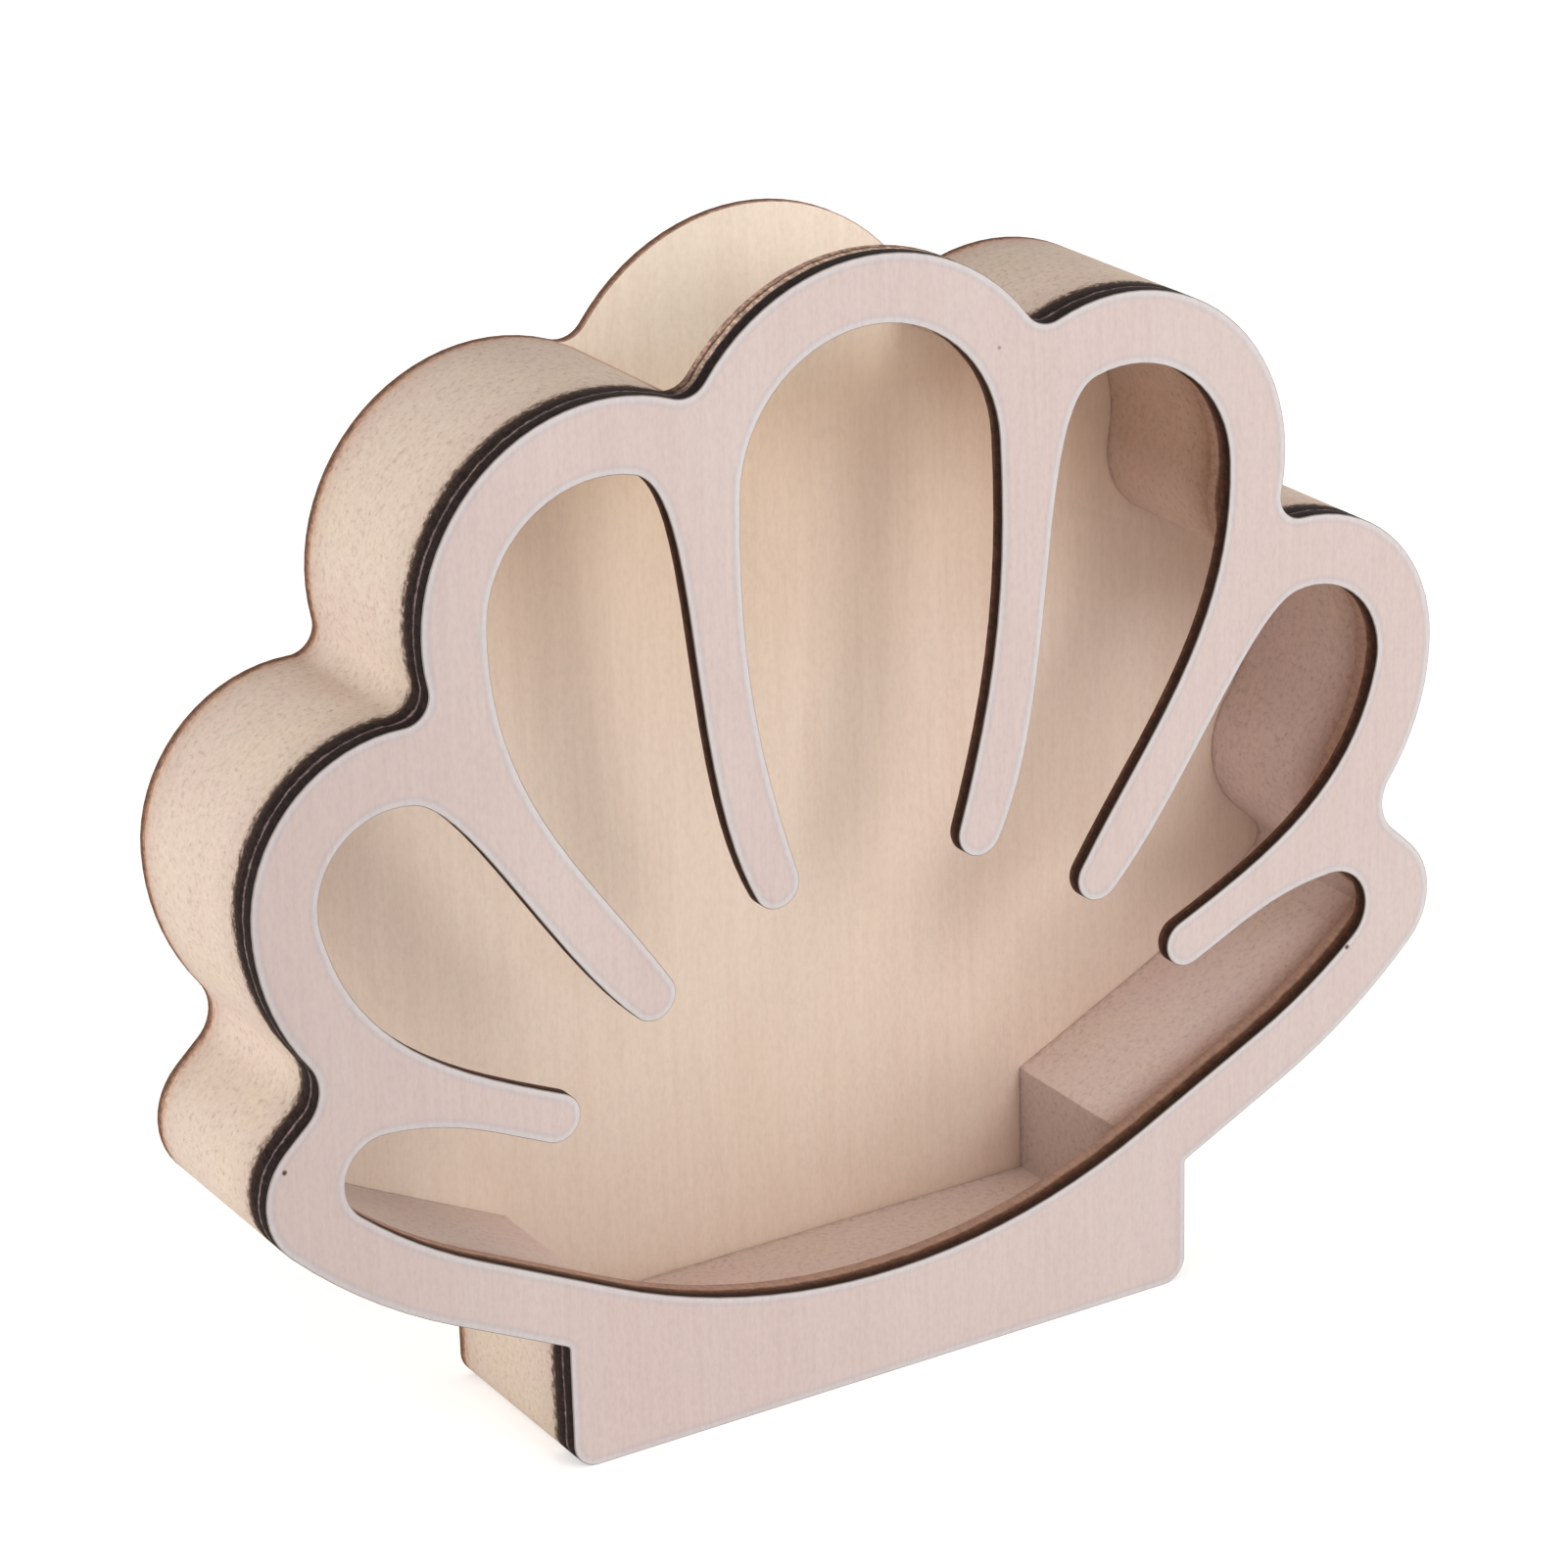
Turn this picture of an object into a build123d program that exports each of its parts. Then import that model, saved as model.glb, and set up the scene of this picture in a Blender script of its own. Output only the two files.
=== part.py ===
from build123d import *
from math import cos, radians, sqrt, tan
import os

# Seashell display case: a shadow box of flat layers, cut to the outline of a scallop
# shell on a rectangular foot. Millimetres. X is the width, +Y points to the back, +Z up.
# The origin is under the middle of the case, on the surface that the foot stands on.
# Angles are in degrees, counted from +X towards +Z as seen from the front.

# ---- Overall ----
case_width = 200.0
case_height = 172.8

# ---- Layers, from front to back ----
front_plate_thickness = 2.5
ring_thickness = 2.5
core_depth = 28.5
back_panel_thickness = 1.5
pane_thickness = 2.0

# ---- Shell outline: five round lobes over two ears and a keel ----
top_lobe_radius = 33.1
upper_lobe_x = 42.3
upper_lobe_z = 130.7
upper_lobe_radius = 29.4
side_lobe_x = 75.6
side_lobe_z = 96.1
side_lobe_radius = 23.8
flank_radius = 36.1  # of the side lobe's flatter lower part
flank_angle = 0.0  # where the side lobe runs into its flank
top_valley_radius = 4.4
middle_valley_radius = 3.9
ear_valley_radius = 6.3
ear_drop = 41.6  # from the centre of the side lobe down to the ear
ear_radius = 11.2
shoulder_radius = 200.0
shoulder_angle = 46.2  # where the nearly straight shoulder runs into the ear
bilge_radius = 91.6
bilge_angle = -45.0  # where the ear runs into the bilge
keel_slope = 26.0
keel_radius = 115.0

# ---- Foot ----
foot_width = 108.0
foot_corner_radius = 4.0
foot_joint_radius = 0.8

# ---- Margins, measured in from the outline ----
window_border = 10.0
core_wall = 8.0
pane_clearance = 0.3
mouth_angle = 118.0  # where the core wall ends, on the circle of the upper lobe

# ---- Fingers of the cut-out: round ends, and the angles on them where walls begin ----
top_finger_radius = 21.5
top_finger_right = 2.6
upper_finger_radius = 18.5
upper_finger_left = 105.7
upper_finger_right = 2.0
side_finger_radius = 12.7
side_finger_left = 101.3
side_finger_right = -12.2
low_finger_radius = 6.5
low_finger_left = 93.1
low_finger_right = -48.8

# ---- Ribs between the fingers: tip centres, and directions back to the roots ----
rib_tip_radius = 3.7
inner_rib_x = 17.3
inner_rib_z = 83.2
inner_rib_angle = 72.5
inner_rib_taper = 10.6  # how far the rib's lower wall leans away from its upper wall
middle_rib_x = 38.2
middle_rib_z = 71.1
middle_rib_angle = 57.5
middle_rib_taper = 13.7
outer_rib_x = 54.3
outer_rib_z = 56.5
outer_rib_angle = 23.8

# ---- Sweep of the rib walls, as parts of each wall's own length ----
sweep_from_tip = 0.35  # how far a wall keeps the direction of its rib
sweep_under_finger = 0.40  # how far it keeps the direction of the finger end below it
sweep_over_finger = 0.164  # the same where the finger end turns over above it


# ---- Planes of the layers ----
case_depth = front_plate_thickness + ring_thickness + core_depth + back_panel_thickness
ring_front = front_plate_thickness - case_depth / 2
core_front = ring_front + ring_thickness
panel_front = core_front + core_depth
panel_back = panel_front + back_panel_thickness

# ---- Centres that follow from the driving dimensions ----
top_lobe = Vector(0, case_height - top_lobe_radius)
upper_lobe = Vector(upper_lobe_x, upper_lobe_z)
side_lobe = Vector(side_lobe_x, side_lobe_z)
ear = Vector(case_width / 2 - ear_radius, side_lobe_z - ear_drop)


def out_from(point, distance, angle):
    """The point that lies a distance from another, in the direction of an angle."""
    return Vector(point) + Vector(distance, 0).rotate(Axis.Z, angle)


flank = out_from(side_lobe, side_lobe_radius - flank_radius, flank_angle)
shoulder = out_from(ear, ear_radius - shoulder_radius, shoulder_angle)
bilge = out_from(ear, ear_radius - bilge_radius, bilge_angle)
keel_line_end = out_from(bilge, bilge_radius, keel_slope - 90)
keel_apex_z = keel_line_end.Y - keel_line_end.X * tan(radians(keel_slope))
keel = Vector(0, keel_apex_z + keel_radius / cos(radians(keel_slope)))


def layer_plane(y):
    """Sketch plane across the case at a depth y; extrusions from it grow to the front."""
    return Plane.XZ.offset(-y)


def valley_center(lobe_a, radius_a, lobe_b, radius_b, valley_radius):
    """Centre of the arc that rounds the valley outside two neighbouring lobes."""
    span = lobe_b - lobe_a
    reach_a = radius_a + valley_radius
    reach_b = radius_b + valley_radius
    along = (reach_a**2 - reach_b**2 + span.length**2) / (2 * span.length)
    outward = sqrt(reach_a**2 - along**2)
    direction = span.normalized()
    return lobe_a + direction * along + direction.rotate(Axis.Z, 90) * outward


def touching(lobe, radius, valley):
    """The point of a lobe where it runs into the arc about a valley centre."""
    return lobe + (valley - lobe).normalized() * radius


def arc_about(center, start, end):
    """Arc of under half a turn about a centre, from one point to another."""
    radius = (start - center).length
    bisector = ((start - center).normalized() + (end - center).normalized()).normalized()
    return ThreePointArc(start, center + bisector * radius, end)


top_valley = valley_center(
    top_lobe, top_lobe_radius, upper_lobe, upper_lobe_radius, top_valley_radius
)
middle_valley = valley_center(
    upper_lobe, upper_lobe_radius, side_lobe, side_lobe_radius, middle_valley_radius
)
ear_valley = valley_center(flank, flank_radius, shoulder, shoulder_radius, ear_valley_radius)


def keel_run(inset):
    """Lower edge at a distance inside the outline: keel line, then the round bottom."""
    line_start = out_from(bilge, bilge_radius - inset, keel_slope - 90)
    line_end = out_from(keel, keel_radius - inset, keel_slope - 90)
    Line(line_start, line_end)
    CenterArc(keel, keel_radius - inset, keel_slope - 90, -keel_slope)


def rib_wall(finger, finger_radius, finger_angle, finger_turn, finger_sweep, tip, rib_angle, side):
    """Curved wall from a finger's round end to one side of a rib tip."""
    high = out_from(finger, finger_radius, finger_angle)
    low = out_from(tip, rib_tip_radius, rib_angle + side)
    length = (high - low).length
    high_control = out_from(high, finger_sweep * length, finger_angle + finger_turn)
    low_control = out_from(low, sweep_from_tip * length, rib_angle)
    Bezier(high, high_control, low_control, low)


# ---- Shell outline: a chain of tangent arcs, right half, then mirrored ----
with BuildSketch() as shell:
    with BuildLine():
        centers = [
            top_lobe, top_valley, upper_lobe, middle_valley, side_lobe,
            flank, ear_valley, shoulder, ear, bilge,
        ]
        joints = [
            Vector(0, case_height),
            touching(top_lobe, top_lobe_radius, top_valley),
            touching(upper_lobe, upper_lobe_radius, top_valley),
            touching(upper_lobe, upper_lobe_radius, middle_valley),
            touching(side_lobe, side_lobe_radius, middle_valley),
            out_from(side_lobe, side_lobe_radius, flank_angle),
            touching(flank, flank_radius, ear_valley),
            touching(shoulder, shoulder_radius, ear_valley),
            out_from(ear, ear_radius, shoulder_angle),
            out_from(ear, ear_radius, bilge_angle),
            out_from(bilge, bilge_radius, keel_slope - 90),
        ]
        for center, start, end in zip(centers, joints, joints[1:]):
            arc_about(center, start, end)
        keel_run(0)
        mirror(about=Plane.YZ)
    make_face()

# ---- Case outline: the shell with its foot, which runs up into the shell ----
with BuildSketch() as outline:
    add(shell.sketch)
    Rectangle(foot_width, ear.Y, align=(Align.CENTER, Align.MIN))
    fillet(outline.vertices().sort_by(Axis.Y)[2:4], foot_joint_radius)
    fillet(outline.vertices().sort_by(Axis.Y)[:2], foot_corner_radius)

# ---- Cut-out of the front plate: seven fingers that meet over the keel ----
top_finger = Vector(0, case_height - window_border - top_finger_radius)
upper_finger_x = upper_lobe_x + upper_lobe_radius - window_border - upper_finger_radius
upper_finger = Vector(upper_finger_x, upper_lobe_z)
side_finger_x = side_lobe_x + side_lobe_radius - window_border - side_finger_radius
side_finger = Vector(side_finger_x, side_lobe_z)
low_finger_offset = bilge_radius - window_border - low_finger_radius
low_finger = out_from(bilge, low_finger_offset, low_finger_right)
inner_tip = Vector(inner_rib_x, inner_rib_z)
middle_tip = Vector(middle_rib_x, middle_rib_z)
outer_tip = Vector(outer_rib_x, outer_rib_z)

with BuildSketch() as window:
    with BuildLine():
        CenterArc(top_finger, top_finger_radius, 90, top_finger_right - 90)
        rib_wall(
            top_finger, top_finger_radius, top_finger_right, -90, sweep_under_finger,
            inner_tip, inner_rib_angle, 90,
        )
        CenterArc(inner_tip, rib_tip_radius, inner_rib_angle + 90, 180 - inner_rib_taper)
        rib_wall(
            upper_finger, upper_finger_radius, upper_finger_left, 90, sweep_over_finger,
            inner_tip, inner_rib_angle - inner_rib_taper, -90,
        )
        upper_turn = upper_finger_right - upper_finger_left
        CenterArc(upper_finger, upper_finger_radius, upper_finger_left, upper_turn)
        rib_wall(
            upper_finger, upper_finger_radius, upper_finger_right, -90, sweep_under_finger,
            middle_tip, middle_rib_angle, 90,
        )
        CenterArc(middle_tip, rib_tip_radius, middle_rib_angle + 90, 180 - middle_rib_taper)
        rib_wall(
            side_finger, side_finger_radius, side_finger_left, 90, sweep_over_finger,
            middle_tip, middle_rib_angle - middle_rib_taper, -90,
        )
        side_turn = side_finger_right - side_finger_left
        CenterArc(side_finger, side_finger_radius, side_finger_left, side_turn)
        rib_wall(
            side_finger, side_finger_radius, side_finger_right, -90, sweep_under_finger,
            outer_tip, outer_rib_angle, 90,
        )
        CenterArc(outer_tip, rib_tip_radius, outer_rib_angle + 90, 180)
        rib_wall(
            low_finger, low_finger_radius, low_finger_left, 90, sweep_under_finger,
            outer_tip, outer_rib_angle, -90,
        )
        low_turn = low_finger_right - low_finger_left
        CenterArc(low_finger, low_finger_radius, low_finger_left, low_turn)
        bilge_turn = keel_slope - 90 - low_finger_right
        CenterArc(bilge, bilge_radius - window_border, low_finger_right, bilge_turn)
        keel_run(window_border)
        mirror(about=Plane.YZ)
    make_face()

# ---- Opening of the second layer: the shell outline, one border further in ----
with BuildSketch() as ring_opening:
    add(shell.sketch)
    offset(amount=-window_border, mode=Mode.REPLACE)

# ---- Hollow of the core, with the pocket that reaches down into the foot ----
with BuildSketch() as hollow:
    add(shell.sketch)
    offset(amount=-core_wall, mode=Mode.REPLACE)
    with Locations((0, core_wall)):
        pocket_width = foot_width - 2 * core_wall
        Rectangle(pocket_width, ear.Y - core_wall, align=(Align.CENTER, Align.MIN))

# ---- Centre line of the core wall's free end, which hooks in over the upper finger ----
hook_turn = mouth_angle - 90
with BuildLine() as hook_line:
    CenterArc(upper_lobe, upper_lobe_radius - core_wall / 2, 90, hook_turn)

# ---- Front plate ----
with BuildPart() as front_plate:
    with BuildSketch(layer_plane(ring_front)):
        add(outline.sketch)
        add(window.sketch, mode=Mode.SUBTRACT)
    extrude(amount=front_plate_thickness)
front_plate.part.label = "front_plate"

# ---- Second layer, an open ring on the foot ----
with BuildPart() as window_ring:
    with BuildSketch(layer_plane(core_front)):
        add(outline.sketch)
        add(ring_opening.sketch, mode=Mode.SUBTRACT)
    extrude(amount=ring_thickness)
window_ring.part.label = "window_ring"

# ---- Clear pane, set into the core behind the ring's lip ----
with BuildPart() as window_pane:
    with BuildSketch(layer_plane(core_front + pane_thickness)):
        add(hollow.sketch)
        offset(amount=-pane_clearance, mode=Mode.REPLACE)
        SlotArc(hook_line.edge(), core_wall + 2 * pane_clearance, mode=Mode.SUBTRACT)
        mirror(about=Plane.YZ, mode=Mode.INTERSECT)
    extrude(amount=pane_thickness)
window_pane.part.label = "window_pane"

# ---- Core: one thick wall all round, open over the top lobe ----
with BuildPart() as case_core:
    with BuildSketch(layer_plane(panel_front)):
        add(outline.sketch)
        add(hollow.sketch, mode=Mode.SUBTRACT)
        with Locations((0, upper_lobe_z)):
            mouth_height = case_height - upper_lobe_z
            Rectangle(
                2 * upper_lobe_x, mouth_height,
                align=(Align.CENTER, Align.MIN), mode=Mode.SUBTRACT,
            )
        SlotArc(hook_line.edge(), core_wall)
        mirror(about=Plane.YZ)
    extrude(amount=core_depth)
case_core.part.label = "case_core"

# ---- Back panel ----
with BuildPart() as back_panel:
    with BuildSketch(layer_plane(panel_back)):
        add(outline.sketch)
    extrude(amount=back_panel_thickness)
back_panel.part.label = "back_panel"

os.makedirs("parts", exist_ok=True)
export_step(front_plate.part, "parts/front_plate.step")
export_step(window_ring.part, "parts/window_ring.step")
export_step(window_pane.part, "parts/window_pane.step")
export_step(case_core.part, "parts/case_core.step")
export_step(back_panel.part, "parts/back_panel.step")
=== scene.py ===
from math import cos, radians, sin

import bmesh
import bpy
from bpy.props import FloatProperty, FloatVectorProperty, PointerProperty
from mathutils import Euler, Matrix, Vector
from mathutils.bvhtree import BVHTree


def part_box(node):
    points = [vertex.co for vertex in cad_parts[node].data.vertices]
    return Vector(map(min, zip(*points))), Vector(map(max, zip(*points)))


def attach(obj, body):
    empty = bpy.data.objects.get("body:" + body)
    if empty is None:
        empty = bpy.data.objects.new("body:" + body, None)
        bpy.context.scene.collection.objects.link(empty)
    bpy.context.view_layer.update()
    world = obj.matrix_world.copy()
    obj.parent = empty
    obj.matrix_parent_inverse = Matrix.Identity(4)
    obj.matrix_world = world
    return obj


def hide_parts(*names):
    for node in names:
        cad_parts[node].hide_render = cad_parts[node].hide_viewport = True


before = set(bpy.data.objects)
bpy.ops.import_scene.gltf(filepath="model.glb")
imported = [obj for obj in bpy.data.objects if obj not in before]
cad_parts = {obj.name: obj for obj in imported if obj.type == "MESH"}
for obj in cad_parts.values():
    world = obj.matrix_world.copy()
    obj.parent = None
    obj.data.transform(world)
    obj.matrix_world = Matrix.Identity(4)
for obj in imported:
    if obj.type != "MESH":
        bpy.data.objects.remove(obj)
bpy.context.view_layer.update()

bl_info = {
    "name": "Shell display case",
    "version": (1, 0, 0),
    "blender": (4, 5, 0),
    "location": "View3D > Sidebar > Shell case",
    "description": "Dresses the layers of a scallop-shaped display case and lights them",
    "category": "Object",
}

MM = 0.001

# Material places of every layer, in this order. Ledges are the low inner walls that look
# up. The front side of a layer is the one that faces the viewer.
BACK_SIDE, ARRIS, OUTER, INNER, LEDGE, FRONT_SIDE = range(6)

# The value on the front veneer that rises to 1 at its edges, where it places a painted glint.
RIM = "rim"

# Where the layers meet, front to back, and how far the case reaches.
RING_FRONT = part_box("window_ring")[0].y
CORE_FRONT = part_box("case_core")[0].y
BACK_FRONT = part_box("back_panel")[0].y
CASE_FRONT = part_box("front_plate")[0].y
CASE_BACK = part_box("back_panel")[1].y
CASE_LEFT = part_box("front_plate")[0].x
CASE_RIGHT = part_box("front_plate")[1].x
CASE_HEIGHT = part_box("front_plate")[1].z

# Points closer than the gap are one, and faces closer to flat than the angle are one.
MERGE_GAP = 0.005 * MM
FLAT_ANGLE = radians(0.05)

# Edges sharper than the arris angle are rubbed, and those sharper than the crisp angle
# are shaded as edges.
ARRIS_ANGLE = radians(60)
ARRIS_STEPS = 2
CRISP_ANGLE = radians(40)

# How far a face is turned to the front or back when it counts as flat or as an arris, and
# how far up when it counts as a ledge. Ledges end at LEDGE_TOP.
FLAT_LEAN = 0.999
ARRIS_LEAN = 0.25
LEDGE_SLOPE = 0.5
LEDGE_TOP = 52 * MM

# A wall nearer than this to the outline of the back panel is an outer wall.
OUTLINE_REACH = 0.6 * MM

# Over the mouth the ring stands free of the core board, and its edge is less burnt.
CROWN_LOW = 140 * MM
CROWN_HIGH = 148 * MM
CROWN_HALF_WIDTH = 25 * MM
CROWN_FADE = 5 * MM

# Features per metre of each texture.
VENEER_PATCHES = 32.0
VENEER_FUZZ = 1900.0
VENEER_PORES = 85.0
ARRIS_WEAR = 700.0
EDGE_SOOT = 1500.0
EDGE_RIPPLES = 420.0
BOARD_CLOUDS = 75.0
BOARD_RIPPLES = 950.0
PANE_SMEARS = 45.0

# How far the rippled line between two burns strays.
EDGE_WAVER = 0.22 * MM
BOARD_WAVER = 0.9 * MM

# Tints, as (share of the way, tint there). The way goes towards the edge, from left to
# right, up the case or from the front of the core board to its back.
PLAIN = (1.0, 1.0, 1.0)
# Painted glint: the front veneer turns paler and cooler at its edges, with a slightly darker band
# just inside.
FRONT_GLINT_BY_RIM = [(0.0, PLAIN), (0.33, (0.91, 0.955, 0.985)), (0.52, (0.94, 1.01, 1.07)),
                (0.66, (0.99, 1.11, 1.17)), (1.0, (1.0, 1.12, 1.18))]
# Painted shade: the front veneer darker towards its left side.
FRONT_SHADE_BY_SIDE = [(0.0, (0.91, 0.90, 0.90)), (0.14, (0.94, 0.935, 0.935)),
                 (0.24, PLAIN), (1.0, (0.985, 0.985, 0.99))]
BOARD_BY_DEPTH = [(0.0, (0.14, 0.11, 0.10)), (0.008, (0.16, 0.13, 0.12)),
                  (0.035, (0.68, 0.64, 0.62)), (0.055, (0.91, 0.90, 0.90)),
                  (0.24, (0.99, 0.99, 0.99)), (0.80, (0.98, 0.98, 0.98)),
                  (0.94, (0.91, 0.88, 0.88)), (0.975, (0.88, 0.76, 0.70)),
                  (1.0, (0.70, 0.53, 0.45))]
# Painted shade: the outside of the core board darker and yellower near the floor.
BOARD_SHADE_BY_HEIGHT = [(0.0, (0.88, 0.89, 0.86)), (0.14, PLAIN)]
# Painted shade in the hollow: dark just behind the ring, and darker where the hollow meets the
# back panel.
HOLLOW_SHADE_BY_DEPTH = [(0.0, (0.42, 0.31, 0.26)), (0.07, (0.62, 0.50, 0.44)),
                   (0.18, (0.88, 0.82, 0.80)), (0.32, PLAIN), (0.96, PLAIN),
                   (1.0, (0.78, 0.72, 0.70))]
# Painted light and shade in the hollow: cooler low down, paler and cooler around the middle
# height, warmer and darker from under the crown up.
HOLLOW_LIGHT_AND_SHADE_BY_HEIGHT = [(0.0, (0.90, 1.0, 1.12)), (0.20, (0.98, 1.05, 1.15)),
                    (0.52, (1.10, 1.15, 1.22)), (0.62, PLAIN), (0.75, (0.90, 0.85, 0.76))]
# Painted light and shade on the ledges: darker on the left, paler on the right.
LEDGE_LIGHT_AND_SHADE_BY_SIDE = [(0.20, (0.73, 0.74, 0.74)), (0.29, (0.92, 0.89, 0.88)),
                 (0.60, (0.98, 1.0, 1.01)), (0.78, (1.04, 1.07, 1.10))]
# Painted light on the back panel's front side: a little paler towards the right.
LINING_LIGHT_BY_SIDE = [(0.0, (0.97, 0.99, 1.02)), (0.5, PLAIN), (0.72, (1.06, 1.04, 1.06)),
                  (1.0, (1.06, 1.04, 1.06))]
# Painted shade and light on the back panel's front side: warmer and darker under the crown, paler
# at the top where the mouth lets light in.
LINING_LIGHT_AND_SHADE_BY_HEIGHT = [(0.0, (1.0, 0.99, 0.99)), (0.55, PLAIN), (0.82, (0.94, 0.87, 0.78)),
                    (0.90, (1.04, 1.08, 1.08)), (1.0, (1.05, 1.10, 1.12))]

# Sockets of a colour mix node, which share their names with its other kinds.
MIX_SHARE, MIX_FIRST, MIX_SECOND, MIX_RESULT = 0, 6, 7, 2

WHITE = (1.0, 1.0, 1.0, 1.0)
ROOM_COLOUR = (1.0, 0.945, 0.89, 1.0)
ROOM_STRENGTH = 0.57
COOL_LAMP = (0.97, 0.985, 1.0)
SIDE_LAMP = (0.99, 0.99, 1.0)
FLOOR_REACH = 6.0
FLOOR_LIFT = 0.50

# The photo's camera: place in metres, turn in degrees, lens and sensor in millimetres.
CAMERA_PLACE = (-0.36576, -0.60044, 0.36902)
CAMERA_TURN = (68.2835, 1.4441, -31.5552)
CAMERA_LENS = 119.04
CAMERA_SENSOR = 36.0


def paint(red, green, blue):
    """A colour as a picture file writes it, 0 to 255, made linear."""
    levels = [c / 255 for c in (red, green, blue)]
    return tuple(c / 12.92 if c <= 0.04045 else ((c + 0.055) / 1.055) ** 2.4 for c in levels)


def between(first, second, share=0.5):
    """The colour part of the way from one to another."""
    return tuple(a * (1 - share) + b * share for a, b in zip(first, second))


def scaled(colour, red, green, blue):
    return (colour[0] * red, colour[1] * green, colour[2] * blue)


def length_setting(name, description, default):
    return FloatProperty(name=name, description=description, default=default * MM,
                         min=0.0, unit="LENGTH", precision=5)


def colour_setting(name, description, *default):
    return FloatVectorProperty(name=name, description=description, default=paint(*default),
                               subtype="COLOR", min=0.0, max=1.0)


class ShellCaseSizes(bpy.types.PropertyGroup):
    veneer_arris: length_setting(
        "Veneer arris", "Width of the rubbed edge round the front veneer", 0.14)
    # The rim strip carries a painted glint on the front veneer.
    rim_width: length_setting(
        "Rim width", "How far the pale rim reaches into the front veneer", 1.5)
    ply_arris: length_setting(
        "Ply arris", "Width of the rubbed edge on the ring and back panel", 0.16)
    board_arris: length_setting(
        "Board arris", "Width of the rubbed edge on the core board", 0.20)
    pane_arris: length_setting(
        "Pane arris", "Width of the polished edge on the clear pane", 0.15)
    grain_width: length_setting(
        "Grain width", "Width of one grain streak in the veneer", 0.8)
    fleck_width: length_setting(
        "Fleck width", "Width of one fibre fleck in the core board", 0.9)


class ShellCaseColours(bpy.types.PropertyGroup):
    front_pale: colour_setting(
        "Front veneer, pale", "Pale streaks of the front veneer", 222, 206, 201)
    front_deep: colour_setting(
        "Front veneer, deep", "Deep streaks of the front veneer", 211, 191, 185)
    arris: colour_setting(
        "Arris", "Rubbed edge round the front veneer", 150, 140, 136)
    pore: colour_setting(
        "Pores", "Rare dark pores in the front veneer", 120, 92, 82)
    char_dark: colour_setting(
        "Char", "Laser-burnt edge of the plies", 38, 29, 27)
    char_brown: colour_setting(
        "Char, brown", "Where the burn is lighter", 72, 51, 43)
    char_red: colour_setting(
        "Char, reddish", "Where the burn fades out at the back of a finger wall", 112, 80, 63)
    char_inner: colour_setting(
        "Char, inner", "Burnt wall inside the ring", 180, 147, 132)
    char_finger: colour_setting(
        "Char, fingers", "Burnt wall of the finger openings", 56, 40, 34)
    char_back: colour_setting(
        "Char, back", "Lightly burnt edge of the back panel", 122, 92, 74)
    ply_bare: colour_setting(
        "Bare ply", "Ply edge that the burn has hardly touched", 196, 168, 150)
    glue_line: colour_setting(
        "Glue line", "Seam between two plies", 128, 110, 108)
    board_pale: colour_setting(
        "Core board, pale", "Pale fibres of the core board", 230, 213, 198)
    board_deep: colour_setting(
        "Core board, deep", "Deep fibres of the core board", 194, 169, 155)
    # The hollow's fibres are deepened as painted shade.
    hollow_shaded_pale: colour_setting(
        "Hollow, pale", "Pale fibres of the routed hollow", 224, 200, 189)
    hollow_shaded_deep: colour_setting(
        "Hollow, deep", "Deep fibres of the routed hollow", 186, 158, 146)
    # The ledges are the same routed board facing up, made paler as painted light from above.
    ledge_lit_pale: colour_setting(
        "Ledge, pale", "Pale fibres of the ledges in the hollow", 241, 222, 214)
    ledge_lit_deep: colour_setting(
        "Ledge, deep", "Deep fibres of the ledges in the hollow", 206, 182, 174)
    back_pale: colour_setting(
        "Back veneer, pale", "Pale streaks of the back veneer", 247, 230, 212)
    back_deep: colour_setting(
        "Back veneer, deep", "Deep streaks of the back veneer", 236, 215, 194)
    pane_tint: colour_setting(
        "Pane", "Tint of the clear pane", 246, 249, 249)
    floor_white: colour_setting(
        "Floor", "Colour of the floor", 245, 245, 245)


class Nodes:
    """Adds nodes to an emptied node tree and links their sockets."""

    def __init__(self, tree):
        self.tree = tree
        tree.nodes.clear()

    def add(self, kind, sockets=None, **options):
        node = self.tree.nodes.new(kind)
        for key, value in options.items():
            setattr(node, key, value)
        for key, value in (sockets or {}).items():
            node.inputs[key].default_value = value
        return node

    def join(self, source, target):
        self.tree.links.new(source, target)

    def math(self, operation, *values):
        node = self.add("ShaderNodeMath", operation=operation)
        for place, value in enumerate(values):
            self.join(value, node.inputs[place])
        return node.outputs["Value"]


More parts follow.
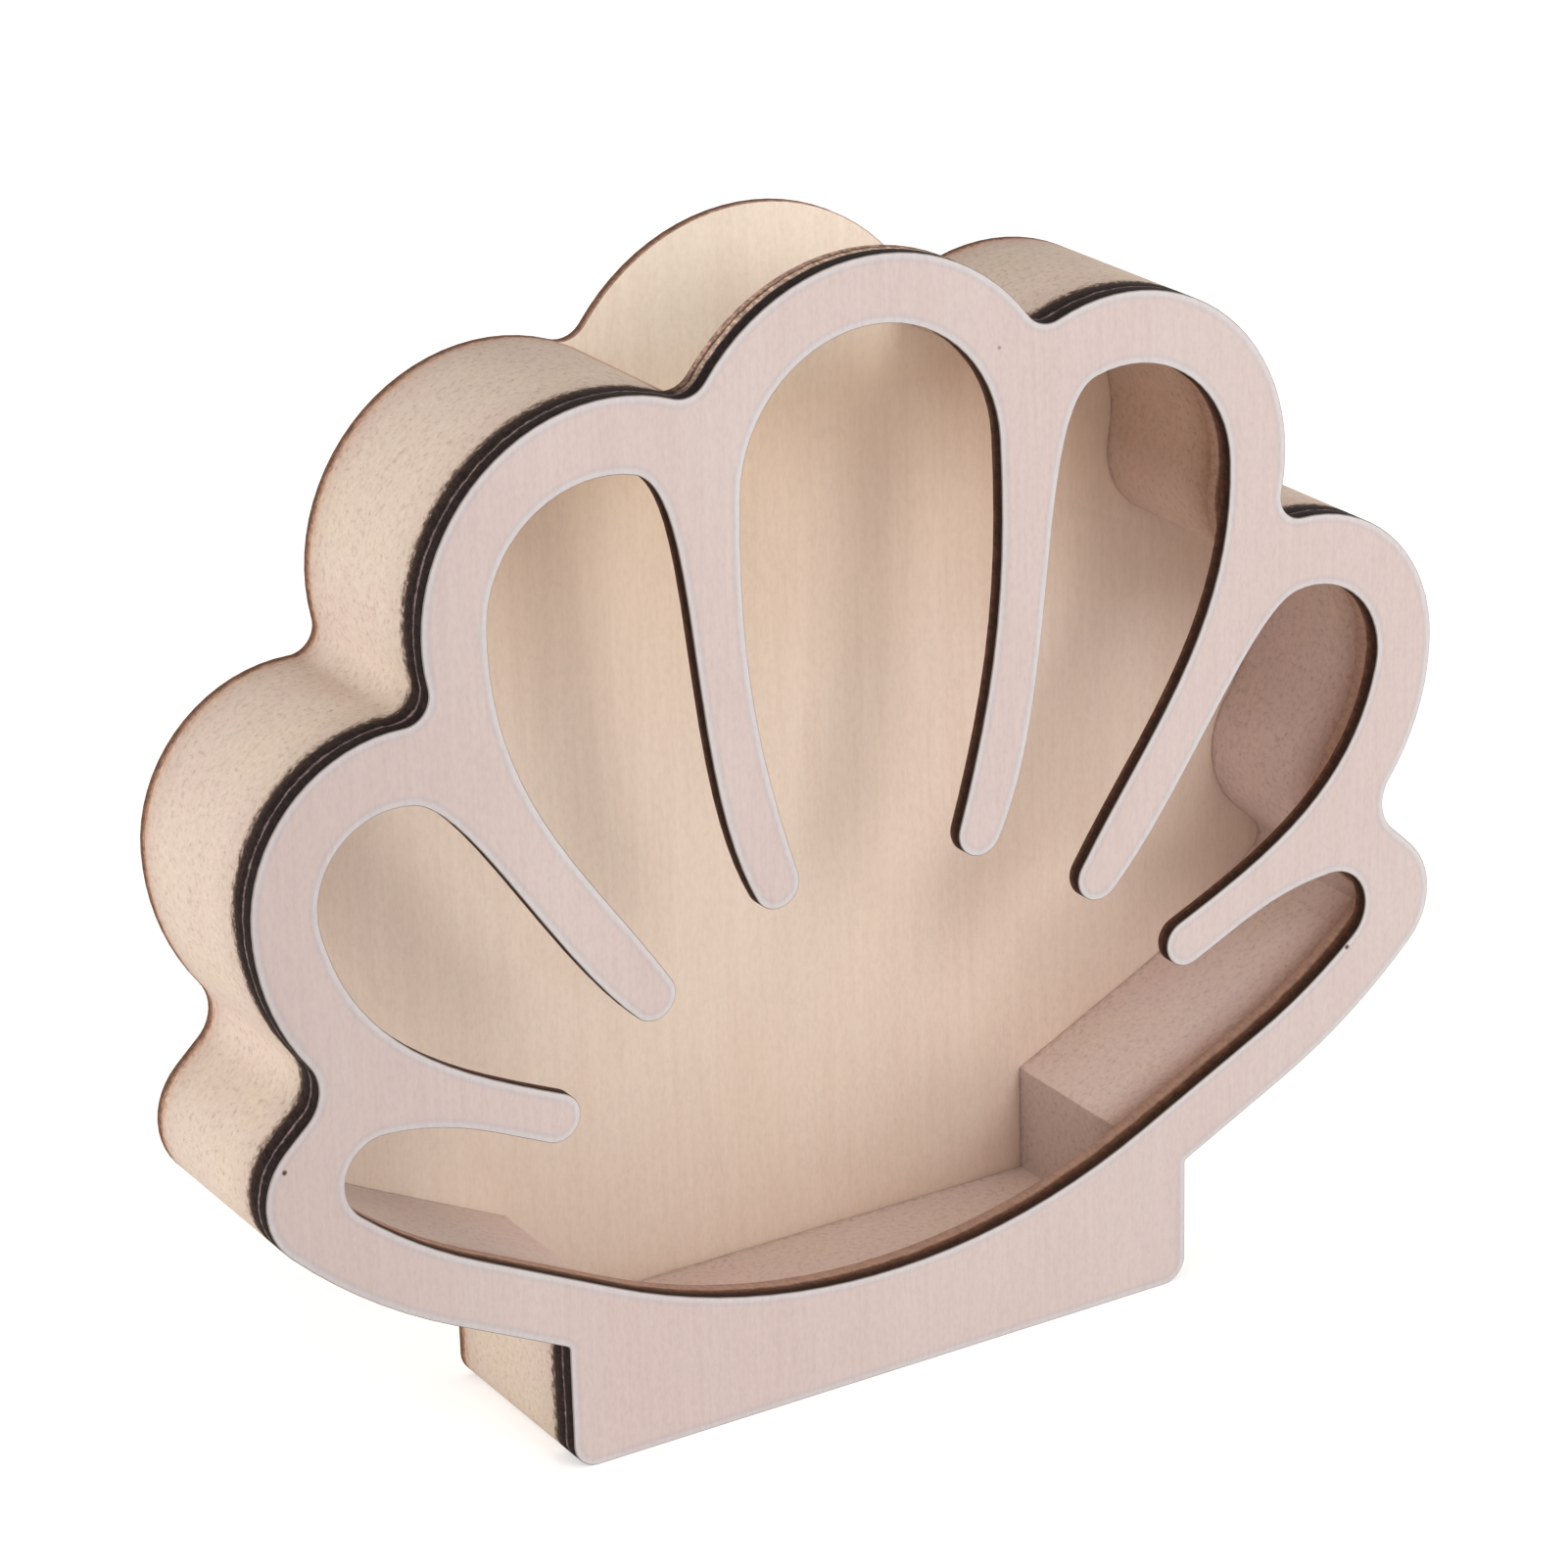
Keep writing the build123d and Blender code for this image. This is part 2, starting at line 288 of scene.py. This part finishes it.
class Finish(Nodes):
    """A material under construction. Its methods take and give sockets."""

    def __init__(self, name):
        self.material = bpy.data.materials.new(name)
        self.material.use_nodes = True
        super().__init__(self.material.node_tree)
        self.output = self.add("ShaderNodeOutputMaterial")
        self.shader = self.add("ShaderNodeBsdfPrincipled")
        self.join(self.shader.outputs["BSDF"], self.output.inputs["Surface"])
        self.place = self.add("ShaderNodeTexCoord").outputs["Object"]

    def along(self, axis):
        """The piece's own X, Y or Z."""
        parts = self.add("ShaderNodeSeparateXYZ")
        self.join(self.place, parts.inputs["Vector"])
        return parts.outputs[axis]

    def noise(self, scale, stretch=(1.0, 1.0, 1.0), detail=3.0, roughness=0.55):
        """Noise on the piece's own coordinates; scale is features per metre."""
        mapping = self.add("ShaderNodeMapping", {"Scale": stretch})
        self.join(self.place, mapping.inputs["Vector"])
        noise = self.add("ShaderNodeTexNoise",
                         {"Scale": scale, "Detail": detail, "Roughness": roughness})
        self.join(mapping.outputs["Vector"], noise.inputs["Vector"])
        return noise.outputs["Fac"]

    def ramp(self, share, stops):
        """A colour ramp; stops are (place, linear colour)."""
        ramp = self.add("ShaderNodeValToRGB")
        bars = ramp.color_ramp.elements
        while len(bars) < len(stops):
            bars.new(0.5)
        for bar, (place, colour) in zip(bars, stops):
            bar.position = place
            bar.color = (*colour, 1.0)
        self.join(share, ramp.inputs["Fac"])
        return ramp.outputs["Color"]

    def spread(self, value, low, high, from_low=0.0, from_high=1.0):
        """Maps a value onto a range and keeps it inside."""
        spread = self.add("ShaderNodeMapRange", {"From Min": from_low, "From Max": from_high,
                                                 "To Min": low, "To Max": high})
        self.join(value, spread.inputs["Value"])
        return spread.outputs["Result"]

    def blend(self, share, first, second):
        """Goes from one colour to another."""
        mix = self.add("ShaderNodeMix", data_type="RGBA")
        self.join(share, mix.inputs[MIX_SHARE])
        self.join(first, mix.inputs[MIX_FIRST])
        self.join(second, mix.inputs[MIX_SECOND])
        return mix.outputs[MIX_RESULT]

    def tint(self, base, tone):
        """Multiplies a colour with another."""
        mix = self.add("ShaderNodeMix", {MIX_SHARE: 1.0}, data_type="RGBA",
                       blend_type="MULTIPLY")
        self.join(base, mix.inputs[MIX_FIRST])
        self.join(tone, mix.inputs[MIX_SECOND])
        return mix.outputs[MIX_RESULT]

    def tint_by_place(self, base, by_side, by_height):
        """Tints a colour from left to right and from the ground up, where tints are given."""
        for axis, low, high, tones in (("X", CASE_LEFT, CASE_RIGHT, by_side),
                                       ("Z", 0.0, CASE_HEIGHT, by_height)):
            if tones is not None:
                way = self.spread(self.along(axis), 0.0, 1.0, low, high)
                base = self.tint(base, self.ramp(way, tones))
        return base

    def depth(self, front, back, waver, ripples):
        """The share of the way from a front to a back plane, with a wavering line.

        waver is how far the line strays and ripples how many waves it has per metre.
        """
        ripple = self.noise(ripples, stretch=(1.0, 1.5, 1.0), roughness=0.65)
        shift = self.spread(ripple, -waver, waver, from_low=0.25, from_high=0.75)
        return self.spread(self.math("ADD", self.along("Y"), shift), 0.0, 1.0, front, back)

    def surface(self, colour, texture, smoothest, roughest, height, strength, gloss=0.5):
        """Joins the colour to the shader, with roughness and bumps that follow one texture.

        height is how high the bumps are and strength how much they show.
        """
        self.join(colour, self.shader.inputs["Base Color"])
        rough = self.spread(texture, smoothest, roughest)
        self.join(rough, self.shader.inputs["Roughness"])
        self.shader.inputs["Specular IOR Level"].default_value = gloss
        bump = self.add("ShaderNodeBump", {"Distance": height, "Strength": strength})
        self.join(texture, bump.inputs["Height"])
        self.join(bump.outputs["Normal"], self.shader.inputs["Normal"])


def veneer(name, pale, deep, grain_width, pore=None, by_rim=None, by_side=None, by_height=None):
    """Sanded birch veneer: fine upright streaks over slow patches, with rare pores.

    by_rim are tints by closeness to the edge, by_side from left to right and by_height
    from the ground up. Here the rim tints paint a glint, and the side and height tints paint
    light and shade.
    """
    finish = Finish(name)
    streaks = finish.noise(1 / grain_width, stretch=(1.0, 1.0, 0.045), detail=5.0,
                           roughness=0.6)
    patches = finish.noise(VENEER_PATCHES, stretch=(1.0, 1.0, 0.4), detail=2.0)
    fuzz = finish.noise(VENEER_FUZZ, stretch=(1.0, 1.0, 0.45), detail=2.0, roughness=0.7)
    middle = between(pale, deep)
    rosy = scaled(middle, 1.01, 0.975, 0.985)
    streaky = finish.ramp(streaks, [(0.28, deep), (0.50, middle), (0.74, pale)])
    slow = finish.ramp(patches, [(0.30, rosy), (0.66, pale)])
    grain = finish.blend(finish.spread(patches, 0.30, 0.65), streaky, slow)
    specks = finish.ramp(fuzz, [(0.28, (0.93, 0.925, 0.93)), (0.58, PLAIN)])
    shade = finish.tint(grain, specks)
    if pore is not None:
        cells = finish.add("ShaderNodeTexVoronoi", {"Scale": VENEER_PORES})
        finish.join(finish.place, cells.inputs["Vector"])
        open_pore = finish.spread(cells.outputs["Distance"], 1.0, 0.0,
                                  from_low=0.020, from_high=0.045)
        shade = finish.tint(shade, finish.ramp(open_pore, [(0.0, PLAIN), (1.0, pore)]))
    if by_rim is not None:
        closeness = finish.add("ShaderNodeAttribute", attribute_name=RIM)
        shade = finish.tint(shade, finish.ramp(closeness.outputs["Fac"], by_rim))
    shade = finish.tint_by_place(shade, by_side, by_height)
    finish.surface(shade, streaks, smoothest=0.58, roughest=0.74,
                   height=0.04 * MM, strength=0.5, gloss=0.25)
    return finish.material


def rubbed_arris(name, tone):
    """The rubbed edge of a veneer face."""
    finish = Finish(name)
    wear = finish.noise(ARRIS_WEAR, roughness=0.6)
    shade = finish.ramp(wear, [(0.30, scaled(tone, 0.84, 0.84, 0.84)), (0.60, tone)])
    finish.surface(shade, wear, smoothest=0.42, roughest=0.60,
                   height=0.03 * MM, strength=0.5)
    return finish.material


def burnt_edge(name, front, back, bands, crown_bands=None, mottle=(0.58, 1.65)):
    """A laser-cut ply edge, coloured in bands from front to back.

    The crown of the case can have bands of its own. mottle is how much darker and paler
    the soot flecks get.
    """
    finish = Finish(name)
    depth = finish.depth(front, back, EDGE_WAVER, EDGE_RIPPLES)
    burn = finish.ramp(depth, bands)
    if crown_bands:
        risen = finish.spread(finish.along("Z"), 0.0, 1.0, CROWN_LOW, CROWN_HIGH)
        aside = finish.math("ABSOLUTE", finish.along("X"))
        central = finish.spread(aside, 1.0, 0.0, CROWN_HALF_WIDTH, CROWN_HALF_WIDTH + CROWN_FADE)
        over_mouth = finish.math("MULTIPLY", risen, central)
        burn = finish.blend(over_mouth, burn, finish.ramp(depth, crown_bands))
    soot = finish.noise(EDGE_SOOT, stretch=(1.0, 0.5, 1.0), detail=4.0, roughness=0.7)
    darker, paler = mottle
    flecks = finish.ramp(soot, [(0.40, (darker, darker, darker)), (0.50, PLAIN),
                                (0.62, (paler, paler * 0.96, paler * 0.93))])
    finish.surface(finish.tint(burn, flecks), soot, smoothest=0.60, roughest=0.88,
                   height=0.06 * MM, strength=0.6, gloss=0.08)
    return finish.material


def fibreboard(name, pale, deep, fleck_width, by_depth, by_side=None, by_height=None):
    """Routed fibreboard: flecks over soft clouds, darker towards its two faces.

    by_depth are tints from the front of the board to its back: dark joint lines on the outer
    walls, painted shade in the hollow. by_side are tints from left to right and by_height from
    the ground up; here they paint light and shade.
    """
    finish = Finish(name)
    flecks = finish.noise(1 / fleck_width, detail=4.0, roughness=0.68)
    clouds = finish.noise(BOARD_CLOUDS)
    fibres = finish.ramp(flecks, [(0.27, deep), (0.44, between(pale, deep, 0.25)), (0.66, pale)])
    cloudy = finish.ramp(clouds, [(0.34, (0.985, 0.955, 0.97)), (0.50, (0.985, 0.98, 0.975)),
                                  (0.66, (0.99, 0.99, 0.955))])
    shade = finish.tint(fibres, cloudy)
    depth = finish.depth(CORE_FRONT, BACK_FRONT, BOARD_WAVER, BOARD_RIPPLES)
    shade = finish.tint(shade, finish.ramp(depth, by_depth))
    shade = finish.tint_by_place(shade, by_side, by_height)
    finish.surface(shade, flecks, smoothest=0.74, roughest=0.90,
                   height=0.10 * MM, strength=0.6, gloss=0.18)
    return finish.material


def clear_sheet(name, tint):
    """Clear cast acrylic, hardly seen straight on."""
    finish = Finish(name)
    smears = finish.noise(PANE_SMEARS, stretch=(1.0, 1.0, 0.5), detail=2.0)
    shade = finish.ramp(smears, [(0.3, scaled(tint, 0.985, 0.985, 0.985)), (0.7, tint)])
    finish.shader.inputs["IOR"].default_value = 1.49
    finish.shader.inputs["Transmission Weight"].default_value = 1.0
    finish.shader.inputs["Alpha"].default_value = 0.03
    finish.surface(shade, smears, smoothest=0.015, roughest=0.045,
                   height=0.02 * MM, strength=0.3)
    return finish.material


def layer_copy(node, arris):
    """A merged copy of one frame layer with flat faces made whole and sharp edges rubbed."""
    shape = bmesh.new()
    shape.from_mesh(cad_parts[node].data)
    bmesh.ops.remove_doubles(shape, verts=shape.verts, dist=MERGE_GAP)
    bmesh.ops.dissolve_limit(shape, angle_limit=FLAT_ANGLE, verts=shape.verts,
                             edges=shape.edges, use_dissolve_boundaries=False)
    sharp = [e for e in shape.edges
             if len(e.link_faces) == 2 and e.calc_face_angle() > ARRIS_ANGLE]
    bmesh.ops.bevel(shape, geom=sharp, offset=arris, offset_type="OFFSET",
                    segments=ARRIS_STEPS, profile=0.5, affect="EDGES", material=-1,
                    clamp_overlap=False)
    bmesh.ops.recalc_face_normals(shape, faces=shape.faces)
    return shape


def outline_wall():
    """The outer wall of the case, read off the back panel."""
    shape = bmesh.new()
    shape.from_mesh(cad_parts["back_panel"].data)
    flat = [f for f in shape.faces if abs(f.normal.y) > FLAT_LEAN]
    bmesh.ops.delete(shape, geom=flat, context="FACES")
    wall = BVHTree.FromBMesh(shape)
    shape.free()
    return wall


def sort_finishes(shape, has_arris=False):
    """Gives flat faces, front arrises, outer and inner walls their places and shading."""
    wall = outline_wall()
    panel_middle = (BACK_FRONT + CASE_BACK) / 2
    for face in shape.faces:
        lean = face.normal.y
        face.smooth = abs(lean) < FLAT_LEAN
        if not face.smooth:
            face.material_index = FRONT_SIDE if lean < 0 else BACK_SIDE
        elif has_arris and lean < -ARRIS_LEAN:
            face.material_index = ARRIS
        else:
            middle = face.calc_center_median()
            distance = wall.find_nearest(Vector((middle.x, panel_middle, middle.z)))[3]
            if distance < OUTLINE_REACH:
                face.material_index = OUTER
            else:
                is_ledge = face.normal.z > LEDGE_SLOPE and middle.z < LEDGE_TOP
                face.material_index = LEDGE if is_ledge else INNER


def put_in_order(shape):
    """Sorts edges and faces by their vertices, so that each run gives the same mesh."""
    shape.verts.index_update()
    for elements in (shape.edges, shape.faces):
        in_order = sorted(elements, key=lambda element: sorted(v.index for v in element.verts))
        ranks = {element: rank for rank, element in enumerate(in_order)}
        elements.sort(key=ranks.get)


def mark_rim(shape, width):
    """Lays a strip of faces along the edges of the front side and marks its outer border."""
    front = [f for f in shape.faces if f.material_index == FRONT_SIDE]
    bmesh.ops.inset_region(shape, faces=front, thickness=width, use_boundary=True,
                           use_even_offset=True)
    put_in_order(shape)
    rim = shape.verts.layers.float.new(RIM)
    for vert in shape.verts:
        places = {face.material_index for face in vert.link_faces}
        vert[rim] = 1.0 if FRONT_SIDE in places and len(places) > 1 else 0.0


def finished_piece(name, shape, materials, nodes):
    """Makes the piece, hides what it replaces and rides it on the case."""
    mesh = bpy.data.meshes.new(name)
    shape.to_mesh(mesh)
    shape.free()
    mesh.set_sharp_from_angle(angle=CRISP_ANGLE)
    for material in materials:
        mesh.materials.append(material)
    piece = bpy.data.objects.new(name, mesh)
    bpy.context.scene.collection.objects.link(piece)
    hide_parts(*nodes)
    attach(piece, "root")
    return piece


def settings(context):
    return context.scene.shell_case_sizes, context.scene.shell_case_colours


class SHELLCASE_OT_front_plate(bpy.types.Operator):
    """Dress the front plate: pinkish veneer, rubbed arris, burnt edge"""
    bl_idname = "shellcase.front_plate"
    bl_label = "Front plate"

    def execute(self, context):
        sizes, colours = settings(context)
        shape = layer_copy("front_plate", sizes.veneer_arris)
        sort_finishes(shape, has_arris=True)
        mark_rim(shape, sizes.rim_width)
        # The front veneer carries a painted glint along its edges and painted shade towards its
        # left side.
        face = veneer("front_veneer_glint_and_shade", colours.front_pale, colours.front_deep,
                      sizes.grain_width, pore=colours.pore, by_rim=FRONT_GLINT_BY_RIM,
                      by_side=FRONT_SHADE_BY_SIDE)
        arris = rubbed_arris("front_arris", colours.arris)
        dark, glue, finger = colours.char_dark, colours.glue_line, colours.char_finger
        outer = burnt_edge("front_edge", CASE_FRONT, RING_FRONT,
                           [(0.0, dark), (0.84, dark), (0.95, glue), (1.0, glue)])
        inner = burnt_edge("finger_edge", CASE_FRONT, RING_FRONT,
                           [(0.0, finger), (0.36, finger), (0.60, colours.char_brown),
                            (0.90, colours.char_red)], mottle=(0.75, 1.35))
        finished_piece("shell_front", shape, [face, arris, outer, inner, inner, face],
                       ["front_plate"])
        return {"FINISHED"}


class SHELLCASE_OT_window_ring(bpy.types.Operator):
    """Dress the ring layer behind the front plate"""
    bl_idname = "shellcase.window_ring"
    bl_label = "Window ring"

    def execute(self, context):
        sizes, colours = settings(context)
        shape = layer_copy("window_ring", sizes.ply_arris)
        sort_finishes(shape)
        face = veneer("ring_veneer", colours.front_pale, colours.front_deep, sizes.grain_width)
        dark, brown, glue = colours.char_dark, colours.char_brown, colours.glue_line
        bare, within = colours.ply_bare, colours.char_inner
        outer = burnt_edge("ring_edge", RING_FRONT, CORE_FRONT,
                           [(0.0, glue), (0.10, dark), (0.40, dark),
                            (1.0, between(dark, brown))],
                           crown_bands=[(0.0, bare), (0.30, bare), (0.42, brown),
                                        (0.62, within), (1.0, within)])
        inner = burnt_edge("ring_inner_edge", RING_FRONT, CORE_FRONT,
                           [(0.0, colours.char_red), (0.25, within), (1.0, within)],
                           mottle=(0.84, 1.12))
        finished_piece("shell_ring", shape, [face, outer, outer, inner, inner, inner],
                       ["window_ring"])
        return {"FINISHED"}


class SHELLCASE_OT_window_pane(bpy.types.Operator):
    """Dress the clear pane that holds the shells in"""
    bl_idname = "shellcase.window_pane"
    bl_label = "Window pane"

    def execute(self, context):
        sizes, colours = settings(context)
        shape = layer_copy("window_pane", sizes.pane_arris)
        sort_finishes(shape)
        clear = clear_sheet("clear_pane", colours.pane_tint)
        finished_piece("shell_pane", shape, [clear] * 6, ["window_pane"])
        return {"FINISHED"}


class SHELLCASE_OT_case_core(bpy.types.Operator):
    """Dress the routed core board"""
    bl_idname = "shellcase.case_core"
    bl_label = "Case core"

    def execute(self, context):
        sizes, colours = settings(context)
        shape = layer_copy("case_core", sizes.board_arris)
        sort_finishes(shape)
        outer = fibreboard("core_outside", colours.board_pale, colours.board_deep,
                           sizes.fleck_width, BOARD_BY_DEPTH, by_height=BOARD_SHADE_BY_HEIGHT)
        # The hollow's finish is deepened as painted shade and carries painted light and shade by
        # height.
        hollow = fibreboard("core_hollow_shaded", colours.hollow_shaded_pale, colours.hollow_shaded_deep,
                            sizes.fleck_width, HOLLOW_SHADE_BY_DEPTH, by_height=HOLLOW_LIGHT_AND_SHADE_BY_HEIGHT)
        # The ledges are paler as painted light from above, with painted light and shade by side.
        ledge = fibreboard("core_ledge_lit", colours.ledge_lit_pale, colours.ledge_lit_deep,
                           sizes.fleck_width, HOLLOW_SHADE_BY_DEPTH, by_side=LEDGE_LIGHT_AND_SHADE_BY_SIDE)
        finished_piece("shell_core", shape, [hollow, outer, outer, hollow, ledge, hollow],
                       ["case_core"])
        return {"FINISHED"}


class SHELLCASE_OT_back_panel(bpy.types.Operator):
    """Dress the back panel: warm veneer and a burnt edge"""
    bl_idname = "shellcase.back_panel"
    bl_label = "Back panel"

    def execute(self, context):
        sizes, colours = settings(context)
        shape = layer_copy("back_panel", sizes.ply_arris)
        sort_finishes(shape)
        coarse_grain = sizes.grain_width * 1.5
        face = veneer("back_veneer", colours.back_pale, colours.back_deep, coarse_grain)
        # The lining is the back panel's front side, with painted light and shade by side and
        # height.
        lining = veneer("back_lining_light_and_shade", colours.back_pale, colours.back_deep, coarse_grain,
                        by_side=LINING_LIGHT_BY_SIDE, by_height=LINING_LIGHT_AND_SHADE_BY_HEIGHT)
        edge = burnt_edge("back_edge", BACK_FRONT, CASE_BACK,
                          [(0.0, colours.char_inner), (0.35, colours.char_back),
                           (0.75, colours.char_red), (1.0, colours.char_back)],
                          mottle=(0.75, 1.3))
        finished_piece("shell_back", shape, [face] + [edge] * 4 + [lining],
                       ["back_panel"])
        return {"FINISHED"}


def soft_lamp(name, azimuth, elevation, distance, width, height, power, colour):
    """A soft box aimed at the middle of the case; azimuth 0 is straight in front."""
    lamp = bpy.data.lights.new(name, "AREA")
    lamp.shape = "RECTANGLE"
    lamp.size = width
    lamp.size_y = height
    lamp.energy = power
    lamp.color = colour
    rig = bpy.data.objects.new(name, lamp)
    bpy.context.scene.collection.objects.link(rig)
    away = Vector((sin(radians(azimuth)) * cos(radians(elevation)),
                   -cos(radians(azimuth)) * cos(radians(elevation)),
                   sin(radians(elevation))))
    rig.location = Vector((0.0, 0.0, CASE_HEIGHT / 2)) + away * distance
    rig.rotation_euler = (-away).to_track_quat("-Z", "Y").to_euler()


class SHELLCASE_OT_stage(bpy.types.Operator):
    """Set the floor, the soft light and the camera"""
    bl_idname = "shellcase.stage"
    bl_label = "Stage"

    def execute(self, context):
        scene = context.scene
        self.lay_floor(scene)
        self.light_room(scene)
        self.aim_camera(scene)
        return {"FINISHED"}

    def lay_floor(self, scene):
        """A plain floor that looks white to the camera and keeps the shadow."""
        shape = bmesh.new()
        bmesh.ops.create_grid(shape, x_segments=1, y_segments=1, size=FLOOR_REACH)
        mesh = bpy.data.meshes.new("floor")
        shape.to_mesh(mesh)
        shape.free()
        floor = bpy.data.objects.new("floor", mesh)
        scene.collection.objects.link(floor)
        finish = Finish("floor_white")
        white = (*scene.shell_case_colours.floor_white, 1.0)
        finish.shader.inputs["Base Color"].default_value = white
        finish.shader.inputs["Roughness"].default_value = 0.9
        finish.shader.inputs["Specular IOR Level"].default_value = 0.1
        path = finish.add("ShaderNodeLightPath")
        lift = finish.add("ShaderNodeEmission", {"Color": WHITE})
        finish.join(finish.spread(path.outputs["Is Camera Ray"], 0.0, FLOOR_LIFT),
                    lift.inputs["Strength"])
        total = finish.add("ShaderNodeAddShader")
        finish.join(finish.shader.outputs["BSDF"], total.inputs[0])
        finish.join(lift.outputs["Emission"], total.inputs[1])
        finish.join(total.outputs["Shader"], finish.output.inputs["Surface"])
        mesh.materials.append(finish.material)

    def light_room(self, scene):
        """A warm room that looks white to the camera, and three soft boxes."""
        scene.world = bpy.data.worlds.new("studio")
        scene.world.use_nodes = True
        world = Nodes(scene.world.node_tree)
        room = world.add("ShaderNodeBackground",
                         {"Color": ROOM_COLOUR, "Strength": ROOM_STRENGTH})
        white = world.add("ShaderNodeBackground", {"Color": WHITE})
        path = world.add("ShaderNodeLightPath")
        seen = world.math("MAXIMUM", path.outputs["Is Camera Ray"], path.outputs["Is Glossy Ray"])
        seen = world.math("MAXIMUM", seen, path.outputs["Is Transmission Ray"])
        mix = world.add("ShaderNodeMixShader")
        world.join(seen, mix.inputs[0])
        world.join(room.outputs["Background"], mix.inputs[1])
        world.join(white.outputs["Background"], mix.inputs[2])
        output = world.add("ShaderNodeOutputWorld")
        world.join(mix.outputs["Shader"], output.inputs["Surface"])
        soft_lamp("key", azimuth=12.0, elevation=27.0, distance=2.0,
                  width=0.73, height=1.15, power=12.6, colour=COOL_LAMP)
        soft_lamp("right_fill", azimuth=52.0, elevation=2.0, distance=0.66,
                  width=0.5, height=0.24, power=0.85, colour=COOL_LAMP)
        soft_lamp("left_fill", azimuth=-99.0, elevation=4.0, distance=1.3,
                  width=0.7, height=0.32, power=7.0, colour=SIDE_LAMP)

    def aim_camera(self, scene):
        lens = bpy.data.cameras.new("camera")
        lens.sensor_width = CAMERA_SENSOR
        lens.lens = CAMERA_LENS
        camera = bpy.data.objects.new("camera", lens)
        camera.location = CAMERA_PLACE
        camera.rotation_euler = Euler([radians(angle) for angle in CAMERA_TURN])
        scene.collection.objects.link(camera)
        scene.camera = camera


PIECES = (SHELLCASE_OT_front_plate, SHELLCASE_OT_window_ring, SHELLCASE_OT_window_pane,
          SHELLCASE_OT_case_core, SHELLCASE_OT_back_panel, SHELLCASE_OT_stage)


class SHELLCASE_PT_sidebar(bpy.types.Panel):
    bl_idname = "SHELLCASE_PT_sidebar"
    bl_label = "Shell case"
    bl_space_type = "VIEW_3D"
    bl_region_type = "UI"
    bl_category = "Shell case"

    def draw(self, context):
        for group in settings(context):
            for key in group.__annotations__:
                self.layout.prop(group, key)
        for piece in PIECES:
            self.layout.operator(piece.bl_idname)


CLASSES = (ShellCaseSizes, ShellCaseColours, *PIECES, SHELLCASE_PT_sidebar)


def register():
    for item in CLASSES:
        bpy.utils.register_class(item)
    bpy.types.Scene.shell_case_sizes = PointerProperty(type=ShellCaseSizes)
    bpy.types.Scene.shell_case_colours = PointerProperty(type=ShellCaseColours)


def unregister():
    del bpy.types.Scene.shell_case_colours
    del bpy.types.Scene.shell_case_sizes
    for item in reversed(CLASSES):
        bpy.utils.unregister_class(item)


def main():
    register()
    bpy.context.scene.view_settings.view_transform = "Standard"
    bpy.ops.shellcase.front_plate()
    bpy.ops.shellcase.window_ring()
    bpy.ops.shellcase.window_pane()
    bpy.ops.shellcase.case_core()
    bpy.ops.shellcase.back_panel()
    bpy.ops.shellcase.stage()


if __name__ == "__main__":
    main()
